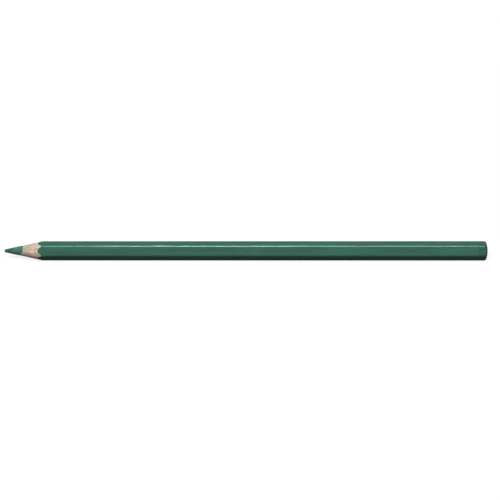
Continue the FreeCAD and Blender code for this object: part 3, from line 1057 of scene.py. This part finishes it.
def lay_floor(radius):
    """A large round floor under the pencil."""
    work = bmesh.new()
    bmesh.ops.create_circle(work, cap_ends=True, segments=FLOOR_SIDES, radius=radius)
    mesh = bpy.data.meshes.new("studio_floor")
    work.to_mesh(mesh)
    work.free()
    mesh.materials.append(floor_finish())
    put_in_scene("studio_floor", mesh)


def light_world():
    """A white surround that lights the pencil only a little."""
    world = bpy.data.worlds.new("Studio")
    bpy.context.scene.world = world
    world.use_nodes = True
    tree = world.node_tree
    tree.nodes.remove(tree.nodes["Background"])
    seen, unseen = (
        made(tree, "ShaderNodeBackground", {"Color": rgba(tone), "Strength": strength})
        for tone, strength in (((1, 1, 1), 1), (SURROUND_COLOUR, SURROUND_STRENGTH))
    )
    shader = light_path_mix(tree, "Is Camera Ray", seen, unseen)
    join(tree, shader, tree.nodes["World Output"].inputs["Surface"])


def bearing(elevation, turn):
    """The direction from the pencil to a lamp or the camera, turned from the front to the butt."""
    level = math.cos(elevation)
    return Vector((math.sin(turn) * level, -math.cos(turn) * level, math.sin(elevation)))


def hang_lamp(name, size, elevation, turn, distance, brightness, shift):
    """A softbox facing the pencil. Brightness is what it gives a white surface that faces it."""
    data = bpy.data.lights.new(name, "AREA")
    data.shape = "RECTANGLE"
    data.size, data.size_y = size
    data.energy = brightness * (math.pi * distance) ** 2
    lamp = put_in_scene(name, data)
    towards = bearing(math.radians(elevation), math.radians(turn))
    lamp.location = towards * distance + Vector((shift, 0, 0))
    lamp.rotation_mode = "QUATERNION"
    lamp.rotation_quaternion = towards.to_track_quat("Z", "Y")
    return lamp


def place_camera(stage):
    """Looks at the barrel's middle from above its near side, the barrel level across the view."""
    towards = bearing(stage.view_elevation, stage.view_turn)
    barrel = Vector((1, 0, 0))
    right = (barrel - barrel.dot(towards) * towards).normalized()
    up = towards.cross(right)
    aim = Vector(((TIP_X + BUTT_X) / 2, 0, AXIS_Z)) + right * stage.aim_along + up * stage.aim_above
    data = bpy.data.cameras.new("Camera")
    data.sensor_width = SENSOR_WIDTH
    data.lens = SENSOR_WIDTH * stage.view_distance / stage.view_width
    data.clip_start = NEAREST_SEEN
    data.clip_end = FARTHEST_SEEN
    camera = put_in_scene("Camera", data)
    facing = Matrix((right, up, towards)).transposed()
    camera.matrix_world = Matrix.Translation(aim + towards * stage.view_distance) @ facing.to_4x4()
    bpy.context.scene.camera = camera


# ---- Operators ----

class PENCIL_OT_core(bpy.types.Operator):
    """Build the pigment core with its scored, worn point"""

    bl_idname = "pencil.core"
    bl_label = "Build Core"

    def execute(self, context):
        mesh = core_mesh(context.scene.pencil_shape)
        material = core_finish(context.scene.pencil_finish)
        finish_piece("pigment_core", mesh, material, "colour_core", CUT_SHARP)
        return {"FINISHED"}


class PENCIL_OT_slats(bpy.types.Operator):
    """Build the two grooved wood slats with their torn, sharpened faces"""

    bl_idname = "pencil.slats"
    bl_label = "Build Slats"

    def execute(self, context):
        shape, finish = context.scene.pencil_shape, context.scene.pencil_finish
        slats = (("front_slat", JOINT_ANGLE, 5), ("rear_slat", JOINT_ANGLE + math.pi, 9))
        for node, first_turn, seed in slats:
            name = node.replace("slat", "wood_slat")
            mesh = slat_mesh(name, shape, first_turn, seed)
            material = wood_finish(name.replace("_", " ").title(), finish, seed)
            finish_piece(name, mesh, material, node, CUT_SHARP)
        return {"FINISHED"}


class PENCIL_OT_glue(bpy.types.Operator):
    """Build the adhesive round the core and between the slats"""

    bl_idname = "pencil.glue"
    bl_label = "Build Adhesive"

    def execute(self, context):
        mesh = glue_mesh(context.scene.pencil_shape)
        material = glue_finish(context.scene.pencil_finish)
        finish_piece("dried_glue", mesh, material, "glue_film", CUT_SHARP)
        return {"FINISHED"}


class PENCIL_OT_coats(bpy.types.Operator):
    """Build the filler coat and the coloured lacquer over it"""

    bl_idname = "pencil.coats"
    bl_label = "Build Coats"

    def execute(self, context):
        shape, finish = context.scene.pencil_shape, context.scene.pencil_finish
        filler = filler_finish(finish)
        layer = {"under": WOOD_COVER, "over": COAT_THICKNESS, "ripple": 0, "seed": 3}
        mesh = coat_mesh("filler_coat", shape, filler, chip=FILLER_CHIP * shape.edge_chip, **layer)
        finish_piece("filler_coat", mesh, filler, "undercoat", COAT_SHARP)
        lacquer = barrel_finish(finish.lacquer)
        layer = {"under": COAT_THICKNESS, "over": 0, "ripple": shape.film_ripple, "seed": 8}
        mesh = coat_mesh("lacquer_film", shape, lacquer, chip=shape.edge_chip, **layer)
        finish_piece("lacquer_film", mesh, lacquer, "colour_lacquer", COAT_SHARP)
        return {"FINISHED"}


class PENCIL_OT_dipped_end(bpy.types.Operator):
    """Build the dipped, rounded end"""

    bl_idname = "pencil.dipped_end"
    bl_label = "Build Dipped End"

    def execute(self, context):
        mesh = dip_mesh(context.scene.pencil_shape)
        material = dip_finish(context.scene.pencil_finish.lacquer)
        finish_piece("dipped_cap", mesh, material, "end_dip", DIP_SHARP)
        return {"FINISHED"}


class PENCIL_OT_stage(bpy.types.Operator):
    """Lay the floor, hang the lamps and place the camera"""

    bl_idname = "pencil.stage"
    bl_label = "Set Stage"

    def execute(self, context):
        stage = context.scene.pencil_stage
        lay_floor(stage.floor_size)
        light_world()
        for strip in STRIPS:
            hang_lamp(*strip).visible_diffuse = False
        for softbox in SOFTBOXES:
            hang_lamp(*softbox).visible_glossy = False
        place_camera(stage)
        context.scene.view_settings.view_transform = "Standard"
        return {"FINISHED"}


class PENCIL_PT_panel(bpy.types.Panel):
    """The pencil's sizes, colours and building steps"""

    bl_idname = "PENCIL_PT_panel"
    bl_label = "Colouring Pencil"
    bl_space_type = "VIEW_3D"
    bl_region_type = "UI"
    bl_category = "Pencil"

    def draw(self, context):
        scene = context.scene
        for group in (scene.pencil_shape, scene.pencil_finish, scene.pencil_stage):
            box = self.layout.box()
            for name in group.__annotations__:
                box.prop(group, name)
        for operator in OPERATORS:
            self.layout.operator(operator.bl_idname)


OPERATORS = (
    PENCIL_OT_core,
    PENCIL_OT_slats,
    PENCIL_OT_glue,
    PENCIL_OT_coats,
    PENCIL_OT_dipped_end,
    PENCIL_OT_stage,
)
GROUPS = {"pencil_shape": PencilShape, "pencil_finish": PencilFinish, "pencil_stage": PencilStage}
CLASSES = (*GROUPS.values(), *OPERATORS, PENCIL_PT_panel)


def register():
    for kind in CLASSES:
        bpy.utils.register_class(kind)
    for name, group in GROUPS.items():
        setattr(bpy.types.Scene, name, bpy.props.PointerProperty(type=group))


def unregister():
    for name in GROUPS:
        delattr(bpy.types.Scene, name)
    for kind in reversed(CLASSES):
        bpy.utils.unregister_class(kind)


def main():
    register()
    for operator in OPERATORS:
        step = operator.bl_idname.split(".")[1]
        getattr(bpy.ops.pencil, step)()


if __name__ == "__main__":
    main()
